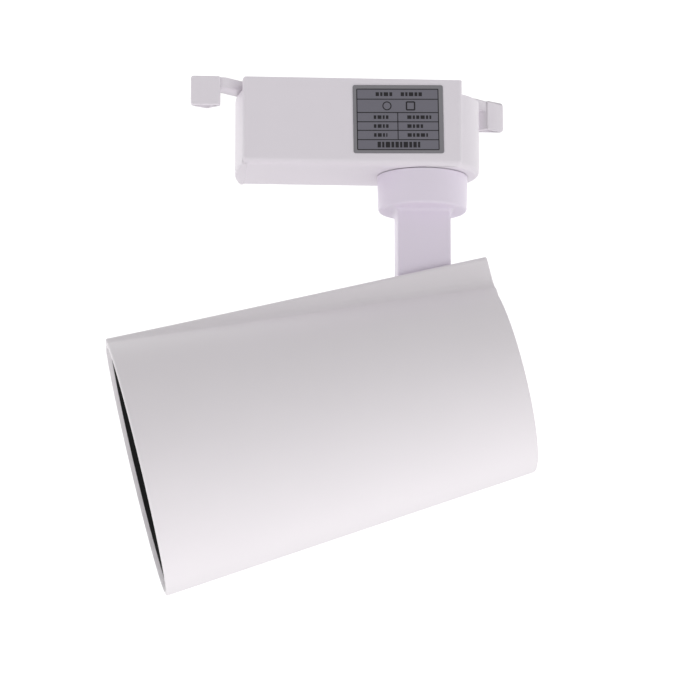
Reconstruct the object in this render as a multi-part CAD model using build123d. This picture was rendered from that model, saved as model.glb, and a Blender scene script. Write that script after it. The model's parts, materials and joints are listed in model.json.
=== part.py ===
from build123d import *
import os
from math import atan2, cos, degrees, radians, sin, sqrt

# Track spotlight for a two-wire surface track. Millimetres.
#
# Row frame: origin at the centre of the face that seats against the track, midway between the two
# turrets. +Z is up, into the track. +X runs along the track towards the swivel. -Y is the front,
# which carries the rating label.
#
# Lamp frame, used for everything in the head: X is the lamp's axis, 0 at the front rim and growing
# towards the rear; Z is up through the spine. place_head() turns a piece from it into the row frame.

# ---- fits and clearances
gap_run = 0.05        # radial, shaft in its bore
gap_slide = 0.1       # between flat faces that turn on each other
gap_lever = 0.3       # under a lever and round its hub
gap_fit = 0.15        # round a piece dropped into a pocket
gap_arm = 0.5         # each side of the arm in the spine's slot
gap_wire = 0.3        # between a wiper and the turret it follows
gap_swing = 0.5       # under the arm's foot as the head tilts

# ---- adapter housing
box_length = 79.1
box_width = 35.0
box_height = 32.0
box_wall = 1.8
box_floor = 1.8
box_corner = 1.2      # upright corners
box_bottom = 2.4      # long bottom edges
end_drop = 4.9        # the end walls stop this far below the seat, so that a lever passes over them
end_inset = 1.0       # each side of the ends, in from the box's long faces
round_end_r = 20.7    # the swivel end, about the swivel's axis
bulge = 2.0           # of the plain end
end_bottom = 0.8      # of the plain end
round_bottom = 1.9    # of the swivel end
seat_corner = 1.2     # where the plain end's edge meets the seat, as seen from the front

# ---- adapter cover
cover_t = 2.0
deck_t = 2.0
riser_t = 1.6
key_length = 21.0
key_width = 11.0
key_height = 3.0
key_bead = 2.2        # the polarising bead along one side of the key
cover_screw_x = 10.0
cover_screw_y = 12.0
cover_screw_r = 1.25
cover_head_r = 2.4
boss_r = 3.0

# ---- levers and their turrets
turret_inset = 12.95  # from the box's ends to the turrets' axes
hub_r = 12.6
barrel_r = 8.0
barrel_depth = 8.0    # below the deck
lever_top = 0.2       # the hub stays this far below the seat
lever_angle = 42.0    # of the handle's arm, from the track's line
lever_arm_w = 7.3
lever_arm_t = 3.65
lever_elbow = 2.5     # where the arm leaves the handle
handle_length = 11.3  # to the elbow
handle_tip = 1.2      # the handle's nearest corner, in plan
handle_height = 10.7
handle_depth = 5.9
handle_out = 31.5     # from the turret's axis to the handle's far end, along the track
handle_apex = 6.2     # from the handle's far end to its rear corner
handle_end_w = 1.6    # its far end, in plan
handle_wall = 1.1
handle_roof = 3.9     # over its pocket
handle_corner = 1.0   # the far end's corners, as seen from the front
handle_edge = 0.4     # round the outer face
crown_length = 12.6
crown_width = 6.0
crown_height = 3.2
clip_t = 1.0
clip_out = 2.2
contact_t = 0.8
contact_w = 3.0
contact_reach = 10.4
wing_reach = 10.0
wing_t = 1.6

# ---- rating label
label_length = 32.4
label_height = 25.0
label_x = 0.7
label_top = 2.4
label_t = 0.2

# ---- driver inside the adapter
board_length = 46.0
board_width = 30.0
board_t = 1.6
board_up = 3.4        # above the inner floor
board_start = 2.0     # from the plain end's inner wall
core_l = 16.0
core_w = 5.0
core_h = 14.0
core_leg = 2.5
core_from_end = 17.2  # from the board's swivel end to the core's middle
winding_r = 5.1
pin_rows = 12.0
can_groove = 0.8
cans_from_end = 4.6
can_sizes = ((4.6, 4.0, 12.0), (-5.0, 3.15, 9.0))  # place across the board, radius, height

# ---- swivel
collar_r = 16.45
collar_draft = 0.4    # smaller in radius at its foot
collar_height = 12.7
collar_gap = 0.3
collar_round = 1.0
nipple_r = 5.0
nipple_bore_r = 3.5
washer_r = 8.0
washer_t = 1.0
groove_r_in = 9.3
groove_r_out = 13.6
groove_depth = 4.0
stop_r = 1.5
stop_drop = 3.4
stop_rib = 2.0
bush_r = 7.0
bush_flange_r = 10.0
bush_flange_t = 1.2
wave_t = 0.8
nut_flats = 14.0
nut_height = 4.0
nipple_end = 1.2      # past the nut
nipple_sunk = 9.0     # into the collar
arm_width = 19.3
arm_thick = 15.0
arm_round = 0.9
arm_root = 1.8        # fillet into the collar
arm_reach = 35.2      # from the collar's foot to the tilt axis
tongue_t = 7.0
tongue_up = 7.2       # from the tilt axis to the shoulders
wire_slot_w = 5.0
wire_slot_l = 12.0
wire_slot_h = 12.0

# ---- head housing
head_length = 139.0
front_r = 46.4
rear_r = 34.5
head_wall = 1.8
head_rear_round = 0.5
head_front_round = 0.6
spine_wall = 3.0      # each side of the arm's slot
spine_rise = 0.1      # of its flat crown, over the front rim
spine_rear_up = 9.55  # of its flat crown, over the rear rim
spine_overhang = 0.9  # past the rear rim
spine_foot = 3.5      # how far below its foot the rear rim steps back
spine_blend = 4.0     # the hollow that runs it into the cone
spine_round = 1.6
spine_core_wall = 2.2
spine_core_start = 36.0
pivot_from_rear = 24.64
pivot_sunk = 1.5      # the tilt axis lies this far under the rear rim's level
slot_floor_t = 3.0
slot_ahead = 13.0     # of the tilt axis
slot_round = 2.5
tilt_rest = 14.2

# ---- tilt pivot
bolt_r = 2.5
bolt_head_r = 4.3
bolt_head_t = 2.0
pivot_nut_flats = 8.0
pivot_nut_t = 2.0
ear_t = 1.5
ear_r = 6.4
friction_t = 0.6
friction_r = 6.2
bracket_t = 1.5
bracket_front = 11.6  # ahead of the tilt axis
bracket_back = 15.0
bracket_screw_r = 1.5

# ---- optics, from the front rim
baffle_start = 1.5
baffle_flange = 3.0
baffle_ledge = 1.6
baffle_wall = 1.5
baffle_depth = 27.0
baffle_fall = 10.9    # the throat is this much smaller in radius than the front rim
baffle_steps = 5
baffle_step_in = 0.8
lens_lap = 1.5        # the glass's edge, behind the throat
lens_t = 3.0
gasket_t = 1.5
gasket_w = 2.2
skirt_t = 1.2
reflector_rim_t = 1.0
reflector_t = 0.8
reflector_throat_r = 10.5
reflector_bow = 4.2
holder_r = 25.0
holder_t = 3.5
led_side = 28.0
led_t = 1.5
led_spot_r = 9.5
pad_t = 0.5

# ---- heat sink
sink_front = 72.0     # its base's front face, from the front rim
sink_base_t = 6.0
sink_core_r = 12.0
sink_fin_r = 28.0
sink_fin_t = 1.5
sink_fins = 20
sink_rear_gap = 13.0  # from the fins' ends to the rear rim
lug_wall = 5.4        # from the cone's inner wall to the middle of a lug
lug_r = 4.0
lug_length = 10.0
m3_r = 1.5
m3_head_r = 2.8
m3_head_t = 1.8

# ---- rear grille
grille_inset = 2.6
grille_t = 2.0
grille_slot_w = 3.0
grille_slots = 6
grille_pitch = 6.4
grille_lug_wall = 4.4 # from the rear rim's inner wall to the middle of a lug
grille_lug_length = 8.0
grille_margin = 8.0   # from the slots' ends to the wall

UP = (Align.CENTER, Align.CENTER, Align.MIN)
DOWN = (Align.CENTER, Align.CENTER, Align.MAX)

# ---- levels and places that follow from the sizes above
turret_x = box_length / 2 - turret_inset
floor_top = -box_height + box_floor
deck_top = -end_drop
deck_under = deck_top - deck_t
lever_under = deck_top + gap_lever
half_width = box_width / 2
inner_y = half_width - box_wall
end_y = half_width - end_inset
collar_top = -box_height - collar_gap
collar_foot = collar_top - collar_height
tilt_z = collar_foot - arm_reach
pivot_x = head_length - pivot_from_rear
pivot_up = rear_r - pivot_sunk
slot_floor_r = pivot_up - arm_width / 2 - bracket_t - gap_swing
slot_y = arm_thick / 2 + gap_arm
spine_w = 2 * (slot_y + spine_wall)
spine_front_r = front_r + spine_rise
spine_rear_r = rear_r + spine_rear_up
baffle_throat_r = front_r - baffle_fall
lens_r = baffle_throat_r + lens_lap
sink_back = head_length - sink_rear_gap
slot_front = pivot_x - slot_ahead
trough_front = slot_front - slot_floor_t
trough_floor = slot_floor_r - slot_floor_t
lens_front = baffle_depth + baffle_wall
gasket_front = lens_front + lens_t
rim_front = gasket_front + gasket_t
holder_front = sink_front - pad_t - holder_t
bush_top = floor_top + box_floor + bush_flange_t
nut_foot = bush_top + wave_t


# ---- small helpers
def block(x0, x1, y0, y1, z0, z1):
    """A box between two corners."""
    return Pos((x0 + x1) / 2, (y0 + y1) / 2, (z0 + z1) / 2) * Box(x1 - x0, y1 - y0, z1 - z0)


def post(x, y, z0, z1, r):
    """An upright round post."""
    return Pos(x, y, z0) * Cylinder(r, z1 - z0, align=UP)


def turned(*points):
    """A solid turned about the lamp's axis from (distance, radius) points."""
    face = make_face(Polyline(*[(x, r, 0) for x, r in points], close=True))
    return revolve(face, Axis.X)


def ring(x0, x1, r_out, r_in=0):
    """A disc or ring square to the lamp's axis."""
    disc = Pos(x0, 0, 0) * Rot(Y=90) * Cylinder(r_out, x1 - x0, align=UP)
    if r_in:
        disc -= Pos(x0 - 1, 0, 0) * Rot(Y=90) * Cylinder(r_in, x1 - x0 + 2, align=UP)
    return disc


def across(x, y0, y1, z, r):
    """A round bar along Y."""
    return Pos(x, y1, z) * Rot(X=90) * Cylinder(r, y1 - y0, align=UP)


def screw(head_at, length, r, head_r, head_t):
    """A pan-headed screw at a location: its shank runs along -Z from the head's seat."""
    head = Cylinder(head_r, head_t, align=UP)
    head = fillet(head.edges().group_by(Axis.Z)[-1], head_t * 0.45)
    drive = Pos(0, 0, head_t - head_t / 2) * Box(head_r * 1.3, head_r * 0.3, head_t, align=UP)
    return head_at * (head + Cylinder(r, length, align=DOWN) - drive - Rot(Z=90) * drive)


def sunk_screw(head_at, length, r, head_r):
    """A countersunk screw, its head's top at the location."""
    depth = head_r - r
    head = Pos(0, 0, -depth / 2) * Cone(r, head_r, depth)
    drive = Pos(0, 0, -depth * 0.7) * Box(head_r * 1.3, head_r * 0.3, depth, align=UP)
    return head_at * (head + Cylinder(r, length, align=DOWN) - drive - Rot(Z=90) * drive)


def sunk_hole(head_at, depth, r, head_r):
    """The hole that a countersunk screw sits in."""
    sink = head_r - r
    return head_at * (Pos(0, 0, -sink / 2) * Cone(r, head_r, sink) + Cylinder(r, depth, align=DOWN))


def spread(count, radius, start=0):
    """Points evenly spaced on a circle, as (y, z) pairs in the lamp frame."""
    angles = [radians(start + 360 * i / count) for i in range(count)]
    return [(radius * cos(a), radius * sin(a)) for a in angles]


def place_head(piece):
    """From the lamp frame to the row frame, nose down by the rest tilt."""
    at = Pos(turret_x, 0, tilt_z) * Rot(Y=-tilt_rest) * Pos(-pivot_x, 0, -pivot_up)
    return at * piece


def half_turn(piece):
    """The same piece for the other end of the adapter."""
    return Rot(Z=180) * piece


# ---- adapter
def box_plan(inset):
    """The plan of the round end and of the bulged end, drawn in from the outside by inset."""
    y = end_y - inset
    round_end = Pos(turret_x, 0) * Circle(round_end_r - inset)
    round_end &= Pos(turret_x + round_end_r / 2, 0) * Rectangle(round_end_r, 2 * y)
    side = -box_length / 2 + inset
    bow = ThreePointArc((side, -y), (side - bulge, 0), (side, y))
    inner_edge = side + riser_t
    bulged_end = make_face(bow + Polyline((side, y), (inner_edge, y), (inner_edge, -y), (side, -y)))
    return round_end, bulged_end


def adapter_housing():
    """The moulded box, open at the top, with its swivel bore, cover bosses and stop pip."""
    body = block(-box_length / 2, box_length / 2, -half_width, half_width, -box_height, 0)
    body = fillet(body.edges().filter_by(Axis.Z), box_corner)
    body = fillet(body.edges().group_by(Axis.Z)[0].filter_by(Axis.X), box_bottom)
    side = Plane.XZ * Pos(0, -box_height / 2) * Rectangle(box_length, box_height)
    side = fillet(side.vertices().group_by(Axis.Z)[-1].sort_by(Axis.X)[0], seat_corner)
    body &= extrude(side, box_width, both=True)
    for plan, bottom in zip(box_plan(0), (round_bottom, end_bottom)):
        end = Pos(0, 0, -box_height) * extrude(plan, box_height - end_drop)
        outer = [e for e in end.edges().group_by(Axis.Z)[0] if abs(e.center().X) > box_length / 2]
        body += fillet(outer, bottom)
    inner_x = box_length / 2 - box_wall
    body -= block(-inner_x, inner_x, -inner_y, inner_y, floor_top, 1)
    for plan in box_plan(box_wall):
        body -= Pos(0, 0, floor_top) * extrude(plan, box_height)
    body -= block(-box_length, box_length, -inner_y, inner_y, -end_drop, 1)
    body += post(turret_x, 0, -box_height, floor_top + box_floor, bush_flange_r + box_wall)
    for x in (-cover_screw_x, cover_screw_x):
        for y in (-cover_screw_y, cover_screw_y):
            body += post(x, y, floor_top, -cover_t, boss_r)
            body -= post(x, y, floor_top + 2 * box_floor, 0, cover_screw_r)
    for x in (-cover_screw_x, 0):
        for y in (-cover_screw_y, cover_screw_y):
            body += post(x - 2 * boss_r, y, floor_top, floor_top + board_up, boss_r * 0.7)
    body -= post(turret_x, 0, -box_height - 1, 0, bush_r + gap_run)
    stop_at = (groove_r_in + groove_r_out) / 2
    return body + post(turret_x + stop_at, 0, -box_height - stop_drop + 1, -box_height, stop_r)


def deck_plan(grow):
    """Where one lever sweeps: round its hub, and everything out to the end of the box."""
    half = inner_y + grow
    plan = Circle(hub_r + 2 * gap_lever + grow) + Pos(box_length / 2, 0) * Rectangle(box_length, 2 * half)
    return Pos(turret_x, 0) * plan


def adapter_cover():
    """The cover: a plate flush with the box's top, a sunken deck under each lever, and the key."""
    inner_x = box_length / 2 - box_wall
    plan = Rectangle(2 * (inner_x - gap_fit), 2 * (inner_y - gap_fit))
    for end in box_plan(box_wall + gap_fit):
        plan += end
    cover = Pos(0, 0, deck_under) * extrude(plan, -deck_under)
    deck = deck_plan(0)
    under = Rectangle(2 * (inner_x - gap_fit - riser_t), 2 * (inner_y - gap_fit - riser_t))
    for turn in (0, 180):
        cover -= Pos(0, 0, deck_top) * extrude(Rot(Z=turn) * deck, box_height)
        under -= Rot(Z=turn) * deck_plan(riser_t)
    cover -= Pos(0, 0, deck_under) * extrude(under, -deck_under - cover_t)
    for x in (-turret_x, turret_x):
        cover -= post(x, 0, -box_height, 1, barrel_r + gap_run)
    for x in (-cover_screw_x, cover_screw_x):
        for y in (-cover_screw_y, cover_screw_y):
            cover -= sunk_hole(Pos(x, y, 0), cover_t, cover_screw_r, cover_head_r)
            cover -= post(x, y, -box_height, -cover_t, boss_r + gap_fit)
    key = extrude(SlotOverall(key_length, key_width), key_height)
    key = fillet(key.edges().group_by(Axis.Z)[-1], 0.8)
    key += block(-key_length / 4, key_length / 4, key_width / 2 - 1, key_width / 2 + key_bead, 0,
                 key_height / 2)
    return cover + key


def cover_screws():
    """Four countersunk screws that hold the cover."""
    length = box_height - 4 * box_floor
    return [sunk_screw(Pos(x, y, 0), length / 2, cover_screw_r - gap_run, cover_head_r - gap_run)
            for x in (-cover_screw_x, cover_screw_x) for y in (-cover_screw_y, cover_screw_y)]


def rating_label():
    """A thin foil label on the front face."""
    plate = block(label_x, label_x + label_length, -half_width - label_t, -half_width,
                  -label_top - label_height, -label_top)
    return fillet(plate.edges().filter_by(Axis.Y), 0.8)


# ---- levers
def arm_plan():
    """The lever's straight arm in plan, from the handle's elbow to the turret's axis."""
    elbow = Vector(handle_length - handle_out, -half_width)
    along = Vector(1, 0).rotate(Axis.Z, lever_angle)
    back = elbow + Vector(0, 1).rotate(Axis.Z, lever_angle) * lever_arm_w
    root = along * -elbow.dot(along)
    return make_face(Polyline(elbow, back, back + root, elbow + root, close=True))


def handle_plan(inset=0):
    """The three-cornered handle in plan, its outer face flush with the box's front face."""
    outer = -half_width
    far = -handle_out
    tip = far + handle_length + handle_tip
    plan = make_face(Polyline((far, outer), (tip, outer), (far + handle_apex, outer + handle_depth),
                              (far, outer + handle_end_w), close=True))
    if inset:
        return offset(plan, -inset)
    return fillet(plan.vertices().sort_by(Axis.X)[-1], handle_tip)


def grip():
    """The hollow handle under the arm's far end."""
    solid = Pos(0, 0, -handle_height) * extrude(handle_plan(), handle_height)
    solid = fillet(solid.faces().sort_by(Axis.X)[0].edges().filter_by(Axis.Y), handle_corner)
    solid = fillet(solid.faces().sort_by(Axis.Y)[0].edges(), handle_edge)
    pocket = Pos(0, 0, -box_height) * extrude(handle_plan(handle_wall), box_height - handle_roof)
    return solid - (pocket & block(handle_wall - handle_out, 0, -box_width, box_width, -box_height, 0))


def lever_moulding():
    """One lever with its handle, hub, barrel and crown, about its own axis, for the plain end."""
    top = -lever_top
    hub = post(0, 0, lever_under, top, hub_r)
    hub = chamfer(hub.edges().group_by(Axis.Z)[-1], 0.5)
    plan = arm_plan()
    elbow = plan.vertices().sort_by(Axis.Y)[0]
    blade = Pos(0, 0, top - lever_arm_t) * extrude(fillet(elbow, lever_elbow), lever_arm_t)
    barrel = post(0, 0, deck_under - barrel_depth, lever_under, barrel_r)
    crown = extrude(RectangleRounded(crown_length, crown_width, 1.2), crown_height + lever_top)
    crown = fillet(crown.edges().group_by(Axis.Z)[-1], 0.6)
    body = hub + blade + grip() + barrel + Pos(0, 0, top) * crown
    groove = post(0, 0, deck_under - gap_slide - clip_t, deck_under - gap_slide, barrel_r + 1)
    groove -= post(0, 0, -box_height, 0, barrel_r - 1)
    return body - groove


def retaining_clip():
    """The open ring under the deck that keeps a turret in the cover."""
    low = deck_under - gap_slide - clip_t
    clip = post(0, 0, low, low + clip_t - gap_run, barrel_r - 1 + clip_out)
    clip -= post(0, 0, low - 1, low + clip_t + 1, barrel_r - 1 + gap_run)
    return clip - block(-3, 3, 0, box_width, low - 1, low + clip_t + 1)


def contact_legs(grow):
    """Two L-shaped contacts: a blade out of the crown and a leg down the barrel's side."""
    legs = []
    half = contact_w / 2 + grow
    for side in (1, -1):
        z = crown_height * 0.45
        blade = block(barrel_r * 0.45, contact_reach, -half, half, z - grow, z + contact_t + grow)
        leg = block(barrel_r * 0.45, barrel_r * 0.45 + contact_t + grow, -half, half,
                    deck_under - barrel_depth * 0.8, z + contact_t + grow)
        foot = block(barrel_r * 0.45, barrel_r, -half, half,
                     deck_under - barrel_depth * 0.8, deck_under - barrel_depth * 0.8 + contact_t + grow)
        legs.append(Rot(Z=90 - 90 * side) * (blade + leg + foot))
    return legs


def contact_lever():
    """The lever whose turret carries the current, at the plain end."""
    body = lever_moulding()
    for leg in contact_legs(gap_run):
        body -= leg
    return body


def lock_wing():
    """The steel wing through the lock turret's crown, which turns under the track's lips."""
    z = crown_height * 0.4
    wing = block(-wing_reach, wing_reach, -contact_w / 2, contact_w / 2, z, z + wing_t)
    return fillet(wing.edges().filter_by(Axis.Z), 1.0)


def lock_lever():
    """The lever that only locks, over the swivel."""
    z = crown_height * 0.4
    slot = block(-wing_reach, wing_reach, -contact_w / 2 - gap_run, contact_w / 2 + gap_run,
                 z - gap_run, z + wing_t + gap_run)
    return lever_moulding() - slot


# ---- driver
def board_span():
    """The driver board's two ends, along X, and its foot."""
    start = -box_length / 2 + box_wall + board_start
    return start, start + board_length, floor_top + board_up


def driver_board():
    """The driver's circuit board on its posts, notched round the cover's bosses."""
    x0, x1, z = board_span()
    board = block(x0, x1, -board_width / 2, board_width / 2, z, z + board_t)
    board = fillet(board.edges().filter_by(Axis.Z), 1.5)
    for x in (-cover_screw_x, cover_screw_x):
        for y in (-cover_screw_y, cover_screw_y):
            board -= post(x, y, z - 1, z + board_t + 1, boss_r + gap_lever)
    return board


def transformer():
    """The isolating transformer: an E core round a wound bobbin."""
    _, x1, z = board_span()
    whole = Box(core_l, core_w, core_h, align=UP)
    window = Box(core_l - 2 * core_leg, core_w + 1, core_h - 2 * core_leg, align=UP)
    limb = Box(2 * core_leg - gap_lever, core_w + 1, core_h, align=UP)
    core = whole - Pos(0, 0, core_leg) * (window - limb)
    winding = Pos(0, 0, core_leg) * Cylinder(winding_r, core_h - 2 * core_leg, align=UP) - core
    pins = Box(core_l, pin_rows, core_leg, align=UP) - whole
    return Pos(x1 - core_from_end, 0, z + board_t) * (core + winding + pins)


def capacitors():
    """Two electrolytic capacitors, standing on the board, with a rolled groove."""
    _, x1, z = board_span()
    cans = []
    for y, r, h in can_sizes:
        can = fillet(Cylinder(r, h, align=UP).edges(), 0.5)
        can -= Pos(0, 0, h * 0.2) * (Cylinder(r + 1, can_groove) - Cylinder(r - can_groove / 2, can_groove))
        cans.append(Pos(x1 - cans_from_end, y, z + board_t) * can)
    return cans


def choke():
    """The mains filter choke: a drum core with its winding."""
    x0, _, z = board_span()
    drum = Cylinder(3.6, 8.0, align=UP) + Cylinder(4.4, 1.2, align=UP)
    return Pos(x0 + 15.8, 8.6, z + board_t) * (drum + Pos(0, 0, 6.8) * Cylinder(4.4, 1.2, align=UP))


def rectifier():
    """The bridge rectifier, a flat moulded package."""
    x0, _, z = board_span()
    return Pos(x0 + 15.4, -8.0, z + board_t) * chamfer(Box(8.0, 6.4, 2.6, align=UP).edges(), 0.3)


def fuse():
    """The mains fuse, a small cartridge in its own can."""
    x0, _, z = board_span()
    return Pos(x0 + 3.4, -9.6, z + board_t) * fillet(Cylinder(2.1, 6.0, align=UP).edges(), 0.4)


def contact_wipers():
    """Two sprung strips from the board to the contact turret's feet."""
    _, _, z = board_span()
    top = deck_under - barrel_depth * 0.5
    strips = []
    for side in (1, -1):
        r = barrel_r + gap_wire
        strip = block(r, r + 0.5, -1.5, 1.5, z + board_t, top)
        foot = block(r, r + 3.5, -1.5, 1.5, z + board_t, z + board_t + 0.5)
        strips.append(Pos(-turret_x, 0, 0) * Rot(Z=90 * side) * (strip + foot))
    return strips


# ---- swivel
def swivel_bush():
    """The flanged nylon bush in the housing's floor."""
    bush = post(turret_x, 0, -box_height, bush_top, bush_r)
    bush += post(turret_x, 0, bush_top - bush_flange_t, bush_top, bush_flange_r)
    return bush - post(turret_x, 0, -box_height - 1, 0, nipple_r + gap_run)


def swivel_washer():
    """The friction washer between the box and the collar, let into the collar's top."""
    washer = post(turret_x, 0, -box_height - washer_t, -box_height, washer_r)
    return washer - post(turret_x, 0, collar_top - 1, 0, nipple_r + gap_run)


def swivel_nipple():
    """The hollow threaded nipple that joins the collar to the box and lets the wires through."""
    top = nut_foot + nut_height + nipple_end
    nipple = chamfer(post(turret_x, 0, collar_top - nipple_sunk, top, nipple_r).edges(), 0.5)
    return nipple - post(turret_x, 0, -box_width * 3, 0, nipple_bore_r)


def swivel_wave_washer():
    """The spring washer under the nut; its wave is drawn flat, as it is when pressed down."""
    low = bush_top + gap_slide
    washer = post(turret_x, 0, low, nut_foot, nut_flats / 2)
    return washer - post(turret_x, 0, low - 1, nut_foot + 1, nipple_r + gap_run)


def swivel_nut():
    """The hexagon nut inside the box."""
    nut = extrude(RegularPolygon(nut_flats / 2, 6, major_radius=False), nut_height)
    nut = Pos(turret_x, 0, nut_foot) * nut
    return nut - post(turret_x, 0, nut_foot - 1, 0, nipple_r + gap_run)


def swivel_arm():
    """The collar with its stop groove, and the arm under it that ends in the pivot's tongue."""
    x = turret_x
    middle = collar_foot + collar_height / 2
    collar = Pos(x, 0, middle) * Cone(collar_r - collar_draft, collar_r, collar_height)
    collar = fillet(collar.edges().group_by(Axis.Z)[0], collar_round)
    half = arm_width / 2
    arm_foot = tilt_z + tongue_up
    arm = block(x - half, x + half, -arm_thick / 2, arm_thick / 2, arm_foot, collar_foot + 2)
    arm = fillet(arm.edges().filter_by(Axis.Z), arm_round)
    body = collar + arm
    root = [e for e in body.edges() if abs(e.center().Z - collar_foot) < 0.05
            and max(abs(e.center().X - x), abs(e.center().Y)) < collar_r - 4]
    body = fillet(root, arm_root)
    tongue = block(x - half, x + half, -tongue_t / 2, tongue_t / 2, tilt_z, arm_foot + 1)
    body += tongue + across(x, -tongue_t / 2, tongue_t / 2, tilt_z, half)
    groove = post(x, 0, collar_top - groove_depth, collar_top + 1, groove_r_out)
    groove -= post(x, 0, collar_top - groove_depth, collar_top + 1, groove_r_in)
    groove -= block(x - collar_r, x, -stop_rib / 2, stop_rib / 2, collar_top - groove_depth, collar_top + 1)
    body -= groove
    body -= post(x, 0, -box_height - washer_t - gap_slide, 0, washer_r + gap_run)
    body -= post(x, 0, collar_top - nipple_sunk, 0, nipple_r + gap_run)
    body -= post(x, 0, arm_foot + wire_slot_h / 2, 0, nipple_bore_r)
    body -= block(x - wire_slot_w / 2, x + wire_slot_w / 2, -wire_slot_l / 2, wire_slot_l / 2,
                  arm_foot - 1, arm_foot + wire_slot_h) - tongue
    return body - across(x, -arm_thick, arm_thick, tilt_z, bolt_r + gap_run)


# ---- head
def cone_r(x):
    """The outer radius of the head's cone."""
    return front_r - (front_r - rear_r) * x / head_length


def inner_r(x):
    """The inner radius of the head's wall."""
    return cone_r(x) - head_wall


def frustum(radius_at, x0, x1, inset=0):
    """A solid cone between two stations, from a function that gives its radius."""
    return turned((x0, 0), (x0, radius_at(x0) - inset), (x1, radius_at(x1) - inset), (x1, 0))


def above_spine(inset):
    """Everything above the spine's flat crown, lowered by inset."""
    slope = (spine_front_r - spine_rear_r) / head_length
    front = spine_front_r + slope - inset
    rear = spine_rear_r - slope - inset
    over = 2 * front_r
    side = Polyline((-1, front), (head_length + 1, rear), (head_length + 1, over), (-1, over), close=True)
    return extrude(Plane.XZ * make_face(side), spine_w, both=True)


def behind_rim():
    """Everything behind the rear rim, up to the ramp under the spine's overhang."""
    top = rear_r - spine_foot
    end = head_length + 2 * spine_overhang
    side = Polyline((head_length, -front_r), (head_length, top - spine_foot), (end, top + spine_foot),
                    (end, -front_r), close=True)
    return extrude(Plane.XZ * make_face(side), front_r, both=True)


def cone_with_spine():
    """The cone and its spine: run into each other by a hollow blend, flat on top, edges softened."""
    half = spine_w / 2
    end = head_length + spine_overhang
    body = frustum(cone_r, 0, end)
    body += block(0, end, -half, half, 0, front_r * 1.3)
    foot = [e for e in body.edges() if e.length > head_length / 2
            and abs(abs(e.center().Y) - half) < gap_fit and e.center().Z < front_r]
    body = fillet(foot, spine_blend) - above_spine(0)
    crown = body.faces().filter_by(GeomType.PLANE).sort_by(Axis.Z)[-1]
    body = fillet([e for e in crown.edges() if abs(e.center().Y) > half / 2], spine_round)
    body -= behind_rim()
    rear = [e for e in body.edges() if e.bounding_box().min.X > head_length - gap_run]
    body = fillet(rear, head_rear_round)
    front = [e for e in body.edges() if e.bounding_box().max.X < gap_run]
    return fillet(front, head_front_round)


def lug(x0, x1, y, z, r):
    """A screw lug that grows out of the head's wall."""
    bar = ring(x0, x1, r) + block(x0, x1, -r, r, 0, 2 * r)
    turn = Rot(X=-degrees(atan2(y, z)))
    return turn * (Pos(0, 0, sqrt(y * y + z * z)) * bar) & frustum(cone_r, x0, x1, head_wall / 2)


def lug_points():
    """Where the heat sink's three screws sit, about the lamp's axis."""
    return spread(3, inner_r(sink_front) - lug_wall, start=-90)


def grille_points():
    """Where the rear grille's three screws sit."""
    return spread(3, inner_r(head_length) - grille_lug_wall, start=-90)


def slot_cut():
    """The slot that the arm swings in, open at the top and at the rear."""
    length = head_length + 2 * slot_round - slot_front
    plan = fillet(Rectangle(length, 2 * slot_y).vertices(), slot_round)
    return Pos(slot_front + length / 2, 0, slot_floor_r) * extrude(plan, front_r)


def head_housing():
    """The die-cast housing: cone, spine, slot for the arm, and the lugs inside."""
    hollow = frustum(inner_r, -1, head_length + 1)
    core_half = spine_w / 2 - spine_core_wall
    core = block(spine_core_start, trough_front, -core_half, core_half, 0, front_r)
    hollow += core - above_spine(spine_core_wall)
    hollow -= block(trough_front, head_length + 2, -spine_w / 2, spine_w / 2, trough_floor, 2 * front_r)
    body = cone_with_spine() - hollow - slot_cut()
    seat = baffle_start + baffle_flange + gap_fit
    body += turned((seat, inner_r(seat) + 0.4), (seat, inner_r(seat) - baffle_ledge),
                   (seat + 1.2, inner_r(seat) - baffle_ledge), (seat + 3.0, inner_r(seat + 3.0) + 0.4))
    sink_rear = sink_front + sink_base_t
    for y, z in lug_points():
        body += lug(sink_rear, sink_rear + lug_length, y, z, lug_r)
        body -= Pos(0, y, z) * ring(sink_rear - 1, sink_rear + lug_length - 1.5, m3_r)
    grille_front = head_length - grille_inset - grille_t
    for y, z in grille_points():
        body += lug(grille_front - grille_lug_length, grille_front, y, z, lug_r)
        body -= Pos(0, y, z) * ring(grille_front - grille_lug_length + 1.5, grille_front + 1, m3_r)
    for x in bracket_screw_places():
        body -= Pos(x, 0, 0) * Cylinder(bracket_screw_r, slot_floor_r + 1, align=UP)
    return body


def bracket_screw_places():
    """The two screws of the pivot bracket, along the lamp's axis."""
    inset = 2 * bracket_screw_r + 0.4
    return pivot_x - bracket_front + inset, pivot_x + bracket_back - inset


def pivot_bracket():
    """The folded steel bracket on the slot's floor, whose ears hold the tilt bolt."""
    half = tongue_t / 2 + friction_t + gap_slide + ear_t
    x0, x1 = pivot_x - bracket_front, pivot_x + bracket_back
    plate = block(x0, x1, -half, half, slot_floor_r, slot_floor_r + bracket_t)
    ears = across(pivot_x, -half, half, pivot_up, ear_r)
    ears += block(pivot_x - ear_r, pivot_x + ear_r, -half, half, slot_floor_r, pivot_up)
    ears -= block(x0, x1, -half + ear_t, half - ear_t, slot_floor_r, front_r + ear_r)
    bracket = plate + ears - across(pivot_x, -box_width, box_width, pivot_up, bolt_r + gap_run)
    for x in bracket_screw_places():
        at = Pos(x, 0, slot_floor_r + bracket_t)
        bracket -= sunk_hole(at, bracket_t + 1, bracket_screw_r, bracket_screw_r * 2)
    return bracket


def bracket_screws():
    """The bracket's two countersunk screws, into the slot's floor."""
    length = bracket_t + slot_floor_t
    return [sunk_screw(Pos(x, 0, slot_floor_r + bracket_t), length, bracket_screw_r - gap_run,
                       bracket_screw_r * 2 - gap_run) for x in bracket_screw_places()]


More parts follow.
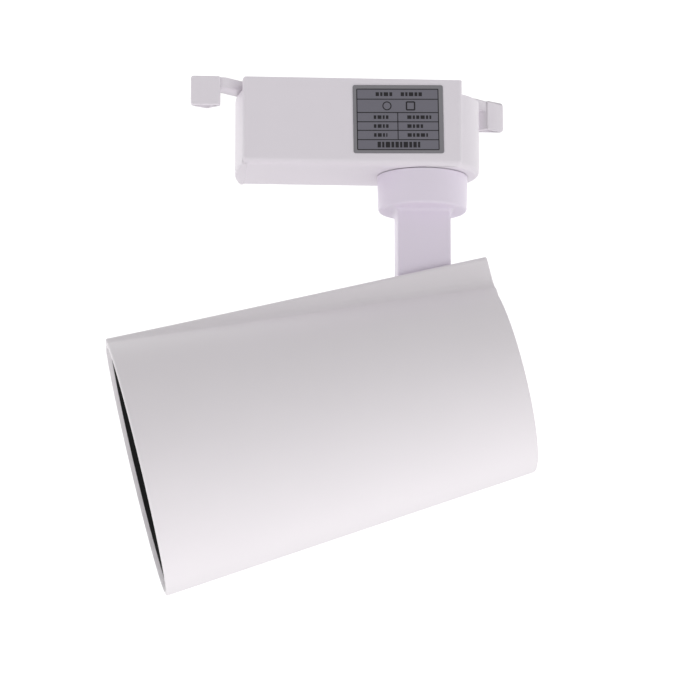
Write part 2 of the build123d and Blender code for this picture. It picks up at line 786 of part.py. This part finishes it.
def friction_washers():
    """The two washers that hold the tilt, one each side of the tongue."""
    inner = tongue_t / 2 + gap_slide
    bore = across(pivot_x, -box_width, box_width, pivot_up, bolt_r + gap_run)
    right = across(pivot_x, inner, inner + friction_t, pivot_up, friction_r) - bore
    left = across(pivot_x, -inner - friction_t, -inner, pivot_up, friction_r) - bore
    return [right, left]


def pivot_bolt():
    """The tilt bolt, its head towards the front face of the lamp's slot."""
    seat = tongue_t / 2 + friction_t + gap_slide + ear_t
    bolt = across(pivot_x, -seat, seat + pivot_nut_t, pivot_up, bolt_r)
    head = across(pivot_x, -seat - bolt_head_t, -seat, pivot_up, bolt_head_r)
    socket = Rot(X=90) * extrude(RegularPolygon(1.7, 6), bolt_head_t * 0.7)
    return bolt + head - Pos(pivot_x, -seat - bolt_head_t * 0.3, pivot_up) * socket


def pivot_nut():
    """The tilt bolt's nut."""
    seat = tongue_t / 2 + friction_t + gap_slide + ear_t
    nut = Rot(X=-90) * extrude(RegularPolygon(pivot_nut_flats / 2, 6, major_radius=False), pivot_nut_t)
    nut = Pos(pivot_x, seat, pivot_up) * nut
    return nut - across(pivot_x, -box_width, box_width, pivot_up, bolt_r + gap_run)


def front_baffle():
    """The black anti-glare baffle: a flange on the housing's ledge, stepped walls, and the lens skirt."""
    flange_r = inner_r(baffle_start + baffle_flange) - gap_fit
    mouth_r = inner_r(baffle_start + baffle_flange) - baffle_ledge - gap_fit - baffle_wall
    step = (baffle_depth - baffle_flange - baffle_start) / baffle_steps
    fall = (mouth_r - baffle_throat_r) / baffle_steps
    points = [(baffle_start, flange_r), (baffle_start, mouth_r + 0.6)]
    for i in range(baffle_steps):
        x = baffle_start + baffle_flange + step * i
        r = mouth_r - fall * i
        points += [(x, r), (x + step * 0.7, r), (x + step * 0.7, r - baffle_step_in)]
    seat_r = lens_r + gap_fit
    points += [(baffle_depth, baffle_throat_r), (lens_front, baffle_throat_r), (lens_front, seat_r)]
    skirt_end = rim_front + reflector_rim_t
    skirt_r = seat_r + skirt_t
    points += [(skirt_end, seat_r), (skirt_end, skirt_r), (baffle_depth, skirt_r),
               (baffle_start + baffle_flange, mouth_r + baffle_wall),
               (baffle_start + baffle_flange, flange_r)]
    return turned(*points)


def lens():
    """The clear cover glass behind the baffle."""
    glass = ring(lens_front, lens_front + lens_t, lens_r)
    return chamfer(glass.edges().filter_by(GeomType.CIRCLE), 0.3)


def lens_gasket():
    """The silicone ring behind the glass."""
    return ring(gasket_front, gasket_front + gasket_t, lens_r, lens_r - gasket_w)


def reflector():
    """The spun aluminium reflector: a deep curved bowl with a flat rim."""
    rim_r = lens_r - gasket_w
    start = (rim_front + reflector_rim_t, rim_r, 0)
    finish = (holder_front, reflector_throat_r, 0)
    middle = ((start[0] + finish[0]) / 2 + reflector_bow, (start[1] + finish[1]) / 2 + reflector_bow, 0)
    inner = ThreePointArc(start, middle, finish)
    shift = Vector(0, reflector_t, 0)
    ends = [Vector(*point) + shift for point in (start, middle, finish)]
    outer = ThreePointArc(*ends)
    wall = make_face([inner, Line(finish, ends[2]), outer, Line(ends[0], start)])
    return revolve(wall, Axis.X) + ring(rim_front, rim_front + reflector_rim_t, lens_r, rim_r)


def led_module():
    """The chip-on-board light source: a ceramic square with a raised round emitting area."""
    back = sink_front - pad_t
    half = led_side / 2
    return block(back - led_t, back, -half, half, -half, half) + ring(back - led_t - 0.6, back, led_spot_r)


def thermal_pad():
    """The thin pad between the light source and the heat sink."""
    half = led_side / 2
    return block(sink_front - pad_t, sink_front, -half, half, -half, half)


def led_holder():
    """The moulded holder that clamps the light source."""
    back = sink_front - pad_t
    holder = ring(holder_front, sink_front, holder_r)
    holder = fillet(holder.edges().group_by(Axis.X)[0], 0.8)
    half = led_side / 2 + gap_fit
    holder -= block(back - led_t, sink_front, -half, half, -half, half)
    holder -= ring(0, head_length, led_spot_r + gap_fit)
    for y, z in spread(2, (holder_r + led_side / 2) / 2 + 1, start=0):
        holder -= Pos(0, y, z) * ring(0, head_length, m3_r)
    return holder


def screws_along(points, seat, length):
    """Screws square to the lamp's axis, driven from the front."""
    return [screw(Pos(seat, y, z) * Rot(Y=-90), length, m3_r - gap_run, m3_head_r, m3_head_t)
            for y, z in points]


def led_holder_screws():
    """Two screws through the holder into the heat sink."""
    points = spread(2, (holder_r + led_side / 2) / 2 + 1, start=0)
    return screws_along(points, holder_front, holder_t + pad_t + sink_base_t - 1)


def heat_sink():
    """The heat sink: a thick base disc, a core, and radial fins cut back under the slot's trough."""
    sink_rear = sink_front + sink_base_t
    body = ring(sink_front, sink_rear, inner_r(sink_rear) - gap_lever)
    body += ring(sink_rear, sink_back, sink_core_r)
    for i in range(sink_fins):
        fin = block(sink_rear, sink_back, -sink_fin_t / 2, sink_fin_t / 2, 0, sink_fin_r)
        body += Rot(X=360 * (i + 0.5) / sink_fins) * fin
    half = spine_w / 2 + gap_arm
    body -= block(trough_front - gap_arm, head_length, -half, half, trough_floor - gap_arm, front_r)
    for y, z in lug_points():
        body -= Pos(0, y, z) * ring(0, head_length, m3_r)
    for y, z in spread(2, (holder_r + led_side / 2) / 2 + 1, start=0):
        body -= Pos(0, y, z) * ring(0, sink_rear - 0.5, m3_r)
    return body


def heat_sink_screws():
    """Three screws through the heat sink's base into the housing's lugs."""
    return screws_along(lug_points(), sink_front, sink_base_t + lug_length - 2)


def rear_grille():
    """The slotted plate that closes the rear, cut away round the trough."""
    x0 = head_length - grille_inset - grille_t
    plate = ring(x0, x0 + grille_t, inner_r(x0 + grille_t) - gap_fit)
    half = spine_w / 2 + gap_fit
    plate -= block(x0 - 1, head_length, -half, half, trough_floor - gap_fit, front_r)
    for i in range(grille_slots):
        z = trough_floor - grille_margin - grille_pitch * i
        reach = sqrt(inner_r(x0) ** 2 - z * z) - grille_margin
        bar = SlotOverall(2 * reach, grille_slot_w)
        plate -= Pos(x0 - 1, 0, z) * Rot(Y=90) * Rot(Z=90) * extrude(bar, grille_t + 2)
    for y, z in grille_points():
        plate -= Pos(0, y, z) * ring(0, head_length, m3_r)
    return plate


def grille_screws():
    """Three screws from the rear into the housing's lugs."""
    seat = head_length - grille_inset
    return [screw(Pos(seat, y, z) * Rot(Y=90), grille_t + grille_lug_length - 2, m3_r - gap_run,
                  m3_head_r, m3_head_t * 0.7) for y, z in grille_points()]


# ---- the whole lamp
def all_pieces():
    """Every node's name with its solid, or its group of solids, in the row frame."""
    left = Pos(-turret_x, 0, 0)
    return {
        "adapter_housing": adapter_housing(),
        "adapter_cover": adapter_cover(),
        "cover_screws": cover_screws(),
        "rating_label": rating_label(),
        "driver_board": driver_board(),
        "transformer": transformer(),
        "capacitors": capacitors(),
        "choke": choke(),
        "rectifier": rectifier(),
        "fuse": fuse(),
        "contact_wipers": contact_wipers(),
        "swivel_bush": swivel_bush(),
        "swivel_washer": swivel_washer(),
        "contact_lever": left * contact_lever(),
        "contact_blades": [left * leg for leg in contact_legs(0)],
        "contact_lever_clip": left * retaining_clip(),
        "lock_lever": half_turn(left * lock_lever()),
        "lock_wing": half_turn(left * lock_wing()),
        "lock_lever_clip": half_turn(left * retaining_clip()),
        "swivel_arm": swivel_arm(),
        "swivel_nipple": swivel_nipple(),
        "swivel_wave_washer": swivel_wave_washer(),
        "swivel_nut": swivel_nut(),
        "head_housing": place_head(head_housing()),
        "pivot_bracket": place_head(pivot_bracket()),
        "bracket_screws": [place_head(s) for s in bracket_screws()],
        "friction_washers": [place_head(w) for w in friction_washers()],
        "pivot_bolt": place_head(pivot_bolt()),
        "pivot_nut": place_head(pivot_nut()),
        "front_baffle": place_head(front_baffle()),
        "lens": place_head(lens()),
        "lens_gasket": place_head(lens_gasket()),
        "reflector": place_head(reflector()),
        "led_module": place_head(led_module()),
        "thermal_pad": place_head(thermal_pad()),
        "led_holder": place_head(led_holder()),
        "led_holder_screws": [place_head(s) for s in led_holder_screws()],
        "heat_sink": place_head(heat_sink()),
        "heat_sink_screws": [place_head(s) for s in heat_sink_screws()],
        "rear_grille": place_head(rear_grille()),
        "grille_screws": [place_head(s) for s in grille_screws()],
    }


os.makedirs("parts", exist_ok=True)
for name, piece in all_pieces().items():
    shape = Compound(children=piece) if isinstance(piece, list) else piece
    export_step(shape, f"parts/{name}.step")
    print(f"{name:22s} {shape.volume:10.1f} mm3")
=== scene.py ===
# %% [markdown]
# # A track spotlight
# The lamp hangs from a lighting track: a white plastic box with two lock levers, a swivel collar and
# arm, and a cast head with a black throat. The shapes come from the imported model, in metres, with +Z
# up into the track. This lesson gives each piece its finish, sets the rating label a little askew and
# prints it, and lights the lamp in a white room.

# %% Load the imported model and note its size
import json
import math
import bpy
from mathutils import Matrix, Vector

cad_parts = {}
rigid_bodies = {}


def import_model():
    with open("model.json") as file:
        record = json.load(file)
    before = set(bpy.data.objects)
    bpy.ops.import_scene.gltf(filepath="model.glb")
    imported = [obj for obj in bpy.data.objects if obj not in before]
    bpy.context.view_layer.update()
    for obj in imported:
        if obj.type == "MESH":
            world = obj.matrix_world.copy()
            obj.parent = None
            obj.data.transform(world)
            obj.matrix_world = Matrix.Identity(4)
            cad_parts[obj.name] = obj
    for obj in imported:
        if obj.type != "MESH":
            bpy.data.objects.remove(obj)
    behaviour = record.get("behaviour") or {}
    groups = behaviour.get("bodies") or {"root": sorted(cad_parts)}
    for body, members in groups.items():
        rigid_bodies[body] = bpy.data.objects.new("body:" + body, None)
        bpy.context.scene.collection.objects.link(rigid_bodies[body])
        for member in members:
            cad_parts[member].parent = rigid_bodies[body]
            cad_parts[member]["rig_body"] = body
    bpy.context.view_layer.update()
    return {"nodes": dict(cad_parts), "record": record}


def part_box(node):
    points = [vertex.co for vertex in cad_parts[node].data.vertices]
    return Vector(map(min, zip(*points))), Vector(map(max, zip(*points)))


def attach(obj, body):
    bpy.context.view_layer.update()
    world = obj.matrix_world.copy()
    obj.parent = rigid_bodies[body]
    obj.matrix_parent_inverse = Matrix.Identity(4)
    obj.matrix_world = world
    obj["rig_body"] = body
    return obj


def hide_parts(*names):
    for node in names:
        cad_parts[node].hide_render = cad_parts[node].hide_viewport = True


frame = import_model()
nodes = frame["nodes"]
slot_of = {row["node"]: row["material_slot"] for row in frame["record"]["subparts"]}
print("the packed model has", len(nodes), "nodes")

# %% [markdown]
# Every operator works on what is selected, and the loader leaves its pieces selected, so the lesson
# starts by selecting nothing. Lengths below are written in millimetres and multiplied by `MM`.

# %% Small tools used all the way through
MM = 0.001


def select_only(*objects):
    """Selects these objects and makes the first one active."""
    bpy.ops.object.select_all(action="DESELECT")
    for o in objects:
        o.select_set(True)
    if objects:
        bpy.context.view_layer.objects.active = objects[0]


def linear(colour):
    """An sRGB hex colour as the linear RGBA that a shader takes."""
    parts = [int(colour[i:i + 2], 16) / 255 for i in (0, 2, 4)]
    return [c / 12.92 if c <= 0.04045 else ((c + 0.055) / 1.055) ** 2.4 for c in parts] + [1.0]


def add(tree, kind, links=None, **settings):
    """Adds a node: settings go to its properties or its inputs, links to inputs by name."""
    node = tree.nodes.new(kind)
    for name, value in settings.items():
        if hasattr(node, name):
            setattr(node, name, value)
        else:
            node.inputs[name.replace("_", " ")].default_value = value
    for name, socket in (links or {}).items():
        tree.links.new(socket, node.inputs[name])
    return node


select_only()

# %% [markdown]
# ## Finishes
# No real surface is one flat colour. Each finish here has a fine grain that breaks up the highlights,
# and a slow drift in tone and gloss a few centimetres wide. The grain's size and depth are what
# tell moulded plastic, powder coat, plating and bare metal apart.


# %% One function makes every finish
drift_size = 25        # of the slow drift in tone and gloss, mm
gloss_swing = 0.04     # of the roughness, each way


def finish(name, colour, roughness, grain, depth, drift=0.02, stretch=(1, 1, 1), **shader):
    """A material with a grain of this size and depth in mm, and a slow drift in tone and gloss."""
    material = bpy.data.materials.new(name)
    material.use_nodes = True
    tree = material.node_tree
    surface = tree.nodes["Principled BSDF"]
    place = add(tree, "ShaderNodeTexCoord").outputs["Object"]
    pulled = add(tree, "ShaderNodeMapping", {"Vector": place}, Scale=stretch).outputs["Vector"]
    fine = add(tree, "ShaderNodeTexNoise", {"Vector": pulled}, Scale=1 / (grain * MM), Detail=2.0)
    bump = add(tree, "ShaderNodeBump", {"Height": fine.outputs["Fac"]}, Strength=1.0, Distance=depth * MM)
    tree.links.new(bump.outputs["Normal"], surface.inputs["Normal"])
    slow = add(tree, "ShaderNodeTexNoise", {"Vector": place}, Scale=1 / (drift_size * MM), Detail=1.0)
    tone = add(tree, "ShaderNodeMapRange", {"Value": slow.outputs["Fac"]}, To_Min=1 - drift, To_Max=1.0)
    tinted = add(tree, "ShaderNodeVectorMath", {0: tone.outputs["Result"]}, operation="MULTIPLY")
    tinted.inputs[1].default_value = linear(colour)[:3]
    tree.links.new(tinted.outputs["Vector"], surface.inputs["Base Color"])
    gloss = add(tree, "ShaderNodeMapRange", {"Value": slow.outputs["Fac"]},
                To_Min=roughness - gloss_swing, To_Max=roughness + gloss_swing)
    tree.links.new(gloss.outputs["Result"], surface.inputs["Roughness"])
    for key, value in shader.items():
        surface.inputs[key.replace("_", " ")].default_value = value
    return material


# %% Plastics
finishes = {
    # moulded ABS with a spark-eroded texture: the highlights are broad and the white leans to lilac
    "white_moulding": finish("satin white ABS", "EDE7EE", 0.42, grain=0.5, depth=0.006),
    # semi-gloss black plastic: nearly no colour of its own, only the soft shine of what is in front
    "black_baffle": finish("semi-gloss black baffle", "0B0B0D", 0.48, grain=0.5, depth=0.005,
                           Specular_IOR_Level=0.25),
    # unpainted nylon is creamy and lets a little light in
    "nylon": finish("natural nylon", "E4E0D2", 0.45, grain=0.8, depth=0.004),
    # epoxy mouldings and sleeves of the driver's parts
    "dark_parts": finish("black epoxy moulding", "1B1B1F", 0.5, grain=0.6, depth=0.01, drift=0.1),
    # the green lacquer shows the board's glass weave as long streaks
    "circuit_board": finish("green solder mask", "1E5A36", 0.35, grain=0.7, depth=0.006, drift=0.12,
                            stretch=(1, 0.15, 1)),
    # grey silicone is dull and slightly waxy
    "silicone": finish("grey silicone", "C4C4C0", 0.6, grain=1.0, depth=0.01, drift=0.05),
}
# the collar and arm come from another mould and batch, and are a little more lilac
arm_white = finish("satin lilac-white ABS", "ECE3F1", 0.36, grain=0.5, depth=0.005)
print("plastics:", len(finishes) + 1)

# %% Metals, paint and glass
finishes.update({
    # powder coat flows out into a faint orange peel, a little warmer than the plastic
    "white_cast": finish("white powder coat", "EFEAEE", 0.44, grain=1.3, depth=0.012),
    # the foil's rolling marks run along it, under a satin varnish
    "label_foil": finish("grey foil border", "88868B", 0.4, grain=0.5, depth=0.004, drift=0.05,
                         stretch=(0.1, 1, 1)),
    # zinc has a cool shine, broken up by the fine crystals of the plating
    "zinc_steel": finish("bright zinc plating", "C9CACB", 0.3, grain=0.4, depth=0.006, drift=0.1,
                         Metallic=1.0),
    # handled copper is glossy, and its tone wanders as it tarnishes
    "copper": finish("contact copper", "D08C62", 0.28, grain=0.3, depth=0.004, drift=0.15, Metallic=1.0),
    # spun metal keeps the rings of the tool, so its shine runs round the cup
    "spun_aluminium": finish("spun bright aluminium", "E4E5E7", 0.16, grain=0.4, depth=0.004, drift=0.05,
                             stretch=(6, 0.3, 0.3), Metallic=1.0),
    # a raw casting has a dull skin with a coarse grain and a cloudy tone
    "cast_aluminium": finish("raw cast aluminium", "B4B5B7", 0.5, grain=0.9, depth=0.03, drift=0.2,
                             Metallic=1.0),
    # glass is clear with a faint green cast, and only its edge and its shine show
    "clear_glass": finish("clear float glass", "F0F8F5", 0.08, grain=8.0, depth=0.002,
                          Transmission_Weight=1.0, IOR=1.52),
    # the ceramic base is hard and glossy, and a little creamy
    "ceramic": finish("white ceramic base", "F0EEE6", 0.3, grain=0.5, depth=0.004),
})
print("finishes so far:", len(finishes) + 1)

# %% [markdown]
# The light source is a yellow phosphor disc on a white base. Both are one solid, so the disc's edge
# is found by distance from the lamp's axis, which runs through the source's middle and along the head.

# %% The phosphor spot
tilt = math.radians(14.2)              # of the head at rest, front end down
lamp_axis = Vector((math.cos(tilt), 0, math.sin(tilt)))
source_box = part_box("led_module")
source_middle = sum((Vector(corner) for corner in source_box), Vector()) / len(source_box)
spot_radius = 7.0
mix_base, mix_spot, mixed = 6, 7, 2    # the colour mix's two colour inputs and its colour output


def paint_spot(material, middle, radius, colour):
    """Colours a disc of this radius, in mm, round the lamp's axis."""
    tree = material.node_tree
    surface = tree.nodes["Principled BSDF"]
    base = surface.inputs["Base Color"].links[0].from_socket
    place = add(tree, "ShaderNodeTexCoord").outputs["Object"]
    away = add(tree, "ShaderNodeVectorMath", {0: place}, operation="SUBTRACT")
    away.inputs[1].default_value = middle
    crossed = add(tree, "ShaderNodeVectorMath", {0: away.outputs["Vector"]}, operation="CROSS_PRODUCT")
    crossed.inputs[1].default_value = lamp_axis
    length = add(tree, "ShaderNodeVectorMath", {0: crossed.outputs["Vector"]}, operation="LENGTH")
    inside = add(tree, "ShaderNodeMath", {0: length.outputs["Value"]}, operation="LESS_THAN")
    inside.inputs[1].default_value = radius * MM
    mix = add(tree, "ShaderNodeMix", data_type="RGBA")
    tree.links.new(inside.outputs["Value"], mix.inputs["Factor"])
    tree.links.new(base, mix.inputs[mix_base])
    mix.inputs[mix_spot].default_value = linear(colour)
    tree.links.new(mix.outputs[mixed], surface.inputs["Base Color"])


paint_spot(finishes["ceramic"], source_middle, spot_radius, "E9C53A")
print("phosphor spot round", [round(c / MM, 1) for c in source_middle], "mm")

# %% [markdown]
# ## Smooth copies of the model's pieces
# The model's meshes come as separate facets. A copy with its points merged can be shaded smoothly
# wherever two facets meet at a small angle, so cones and fillets look round and edges stay crisp.
# Weighted normals let the big flat faces decide the shading of the fillets beside them, so a long
# flat side stays flat. Each copy rides on the same body as its node and stands in for it.


# %% Copy, merge and shade
merge_distance = 0.005                 # mm
smooth_angle = math.radians(32)        # facets that meet at less are shaded as one surface


def shown_copy(name):
    """A merged, smooth-shaded copy of a node, in that node's finish."""
    node = nodes[name]
    piece = bpy.data.objects.new(name + "_shown", node.data.copy())
    bpy.context.scene.collection.objects.link(piece)
    select_only(piece)
    bpy.ops.object.mode_set(mode="EDIT")
    bpy.ops.mesh.select_all(action="SELECT")
    bpy.ops.mesh.remove_doubles(threshold=merge_distance * MM)
    bpy.ops.object.mode_set(mode="OBJECT")
    bpy.ops.object.shade_smooth_by_angle(angle=smooth_angle)
    bpy.ops.object.modifier_add(type="WEIGHTED_NORMAL")
    piece.modifiers[-1].keep_sharp = True
    bpy.ops.object.modifier_apply(modifier=piece.modifiers[-1].name)
    piece.data.materials.clear()
    piece.data.materials.append(finishes[slot_of[name]])
    return piece


def stand_in(piece, name):
    """The piece rides with the node's body, and the node is hidden so the piece shows in its place."""
    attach(piece, nodes[name]["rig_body"])
    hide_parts(name)


shown = {name: shown_copy(name) for name in nodes}
shown["swivel_arm"].data.materials[0] = arm_white
print("smooth copies:", len(shown))

# %% [markdown]
# ## The rating label
# The foil went on a little askew. Its print is a dark table of six rows with plain dashes for the
# lettering and two plain signs, drawn as thin bars that lie on the foil.

# %% Where the label lies, and how it is turned
label_corners = [Vector(corner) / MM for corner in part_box("rating_label")]
label_left = min(c.x for c in label_corners)
label_right = max(c.x for c in label_corners)
label_top = max(c.z for c in label_corners)
label_bottom = min(c.z for c in label_corners)
label_face = min(c.y for c in label_corners)
label_shift = Vector((-0.45, 0, 0))
label_grow = 1.006
label_turn = math.radians(0.9)
label_middle = Vector(((label_left + label_right) / 2, label_face, (label_top + label_bottom) / 2))
askew = (Matrix.Translation((label_middle + label_shift) * MM) @ Matrix.Rotation(-label_turn, 4, "Y")
         @ Matrix.Diagonal((label_grow, 1, label_grow, 1)) @ Matrix.Translation(-label_middle * MM))
shown["rating_label"].data.transform(askew)
print("label", round(label_right - label_left, 2), "x", round(label_top - label_bottom, 2), "mm")

# %% Bars of print
ink = finish("dark label print", "1C191E", 0.45, grain=0.6, depth=0.003, drift=0.1)
panel = finish("grey label panel", "75737D", 0.42, grain=0.5, depth=0.004, drift=0.05, stretch=(0.1, 1, 1))
print_parts = []


def bar(x0, x1, z0, z1, material, proud):
    """A flat bar on the label, from its left edge and down from its top, in mm."""
    bpy.ops.mesh.primitive_cube_add(size=1)
    piece = bpy.context.object
    size = Vector((x1 - x0, proud, z1 - z0)) * MM
    middle = Vector((label_left + (x0 + x1) / 2, label_face - proud / 2, label_top - (z0 + z1) / 2)) * MM
    piece.data.transform(Matrix.Translation(middle) @ Matrix.Diagonal((*size, 1)))
    piece.data.materials.append(material)
    print_parts.append(piece)


line = 0.33
proud_panel, proud_ink = 0.02, 0.04
table_left, table_right, table_top = 1.45, 30.6, 1.5
row_heights = [3.7, 4.9, 3.4, 3.15, 3.4, 3.65]
split = 16.0                           # the upright line between the two halves of the middle rows
rows = [table_top]
for height in row_heights:
    rows.append(rows[-1] + height)
bar(table_left, table_right, rows[0], rows[-1], panel, proud_panel)


def across(z, x0=table_left, x1=table_right, width=line):
    """A line of ink along the label at this height."""
    bar(x0, x1, z - width / 2, z + width / 2, ink, proud_ink)


def upright(x, z0, z1, width=line):
    """A line of ink down the label at this place."""
    bar(x - width / 2, x + width / 2, z0, z1, ink, proud_ink)


for z in rows:
    across(z)
for x in (table_left, table_right):
    upright(x, rows[0], rows[-1])
upright(split, rows[2], rows[5])
print("bars in the table:", len(print_parts))

# %% [markdown]
# The lettering is plain dashes of a few lengths, in groups like short words. The second row has a ring
# and a square instead.


# %% Dashes and signs
dash_gap, shortest_dash = 0.45, 0.3


def dashes(x0, x1, z, height, lengths):
    """A line of plain dashes between two places, centred on z."""
    x, turn = x0, 0
    while x < x1 - shortest_dash:
        end = min(x + lengths[turn % len(lengths)], x1)
        bar(x, end, z - height / 2, z + height / 2, ink, proud_ink)
        x, turn = end + dash_gap, turn + 1


centre = [(rows[i] + rows[i + 1]) / 2 for i in range(len(row_heights))]
for x0, x1, row, height in ((8.2, 14.8, 0, 1.4), (17.2, 25.5, 0, 1.4), (8.6, 24.2, 5, 2.1)):
    dashes(x0, x1, centre[row], height, (1.2, 0.8, 1.6, 1.0))
left_start, right_start, small = 7.4, 19.4, 1.3
for row, left_end, right_end in ((2, 12.8, 28.0), (3, 13.0, 25.0), (4, 12.2, 26.7)):
    dashes(left_start, left_end, centre[row], small, (0.9, 1.4, 0.7))
    dashes(right_start, right_end, centre[row], small, (1.5, 0.8, 1.1))
sign, stroke, ring_x, square_x = 2.9, 0.5, 12.2, 19.2
for x in (square_x, square_x + sign):
    upright(x, centre[1] - sign / 2, centre[1] + sign / 2, stroke)
for z in (centre[1] - sign / 2, centre[1] + sign / 2):
    across(z, square_x, square_x + sign, stroke)
ring_middle = Vector((label_left + ring_x, label_face, label_top - centre[1])) * MM
bpy.ops.mesh.primitive_torus_add(major_radius=sign / 2 * MM, minor_radius=stroke / 2 * MM, major_segments=48,
                                 minor_segments=8)
ring = bpy.context.object
flat = Matrix.Diagonal((1, 1, proud_ink / (stroke / 2), 1))
ring.data.transform(Matrix.Translation(ring_middle) @ Matrix.Rotation(math.radians(90), 4, "X") @ flat)
ring.data.materials.append(ink)
print_parts.append(ring)
select_only(*print_parts)
bpy.ops.object.join()
label_print = bpy.context.object
label_print.name = "label_print"
label_print.data.transform(askew)
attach(label_print, nodes["rating_label"]["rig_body"])
print("label print has", len(label_print.data.polygons), "faces")

# %% Every copy takes its node's place
for name, piece in shown.items():
    stand_in(piece, name)
print("nodes stood in for:", len(shown))

# %% [markdown]
# ## The studio
# A white sweep lies far below the lamp. The light is a white room, brighter behind and under the
# lamp than in front and above, so the head's underside glows and the faces to the viewer are softer.

# %% The floor
floor_level, floor_size = -0.9, 40.0
bpy.ops.mesh.primitive_plane_add(size=floor_size, location=(0, 0, floor_level))
floor = bpy.context.object
floor.name = "studio_floor"
floor.data.materials.append(finish("white sweep", "EDEDED", 0.8, grain=3.0, depth=0.01))

# %% The camera, low and far away
look_at = Vector((0.25, 0.0, -96.2)) * MM
azimuth, elevation = math.radians(-3.92), math.radians(-10.2)
distance = 1220 * MM
away = Vector((math.sin(azimuth) * math.cos(elevation), -math.cos(azimuth) * math.cos(elevation),
               math.sin(elevation)))
bpy.ops.object.camera_add(location=look_at + away * distance)
camera = bpy.context.object
camera.rotation_mode = "QUATERNION"
camera.rotation_quaternion = (-away).to_track_quat("-Z", "Y")
camera.data.lens, camera.data.sensor_width = 174.4, 36
camera.data.clip_start, camera.data.clip_end = 0.01, 50
bpy.context.scene.camera = camera

# %% The white room
room_level = 0.83
room_slope = Vector((0.0, 0.375, -0.29))
side_glow = 0.29
world = bpy.data.worlds.new("white room")
bpy.context.scene.world = world
world.use_nodes = True
room = world.node_tree
direction = add(room, "ShaderNodeTexCoord").outputs["Generated"]
slope = add(room, "ShaderNodeVectorMath", {0: direction}, operation="DOT_PRODUCT")
slope.inputs[1].default_value = room_slope
level = add(room, "ShaderNodeMath", {0: slope.outputs["Value"]}, operation="ADD")
level.inputs[1].default_value = room_level
sides = add(room, "ShaderNodeSeparateXYZ", {"Vector": direction}).outputs["X"]
either = add(room, "ShaderNodeMath", {0: sides}, operation="ABSOLUTE")
total = add(room, "ShaderNodeMath", {0: either.outputs["Value"], 2: level.outputs["Value"]},
            operation="MULTIPLY_ADD")
total.inputs[1].default_value = side_glow
room.links.new(total.outputs["Value"], room.nodes["Background"].inputs["Color"])

# %% A soft light just above the floor, a little in front of the lamp
glow, glow_size = 0.53, 3.6
under_place = (0, -0.8, floor_level + 0.02)
bpy.ops.object.light_add(type="AREA", location=under_place, rotation=(math.pi, 0, 0))
under = bpy.context.object
under.data.size = glow_size
under.data.energy = glow * math.pi * glow_size ** 2
under.visible_camera = False
under.visible_glossy = False
bpy.context.scene.view_settings.view_transform = "Standard"
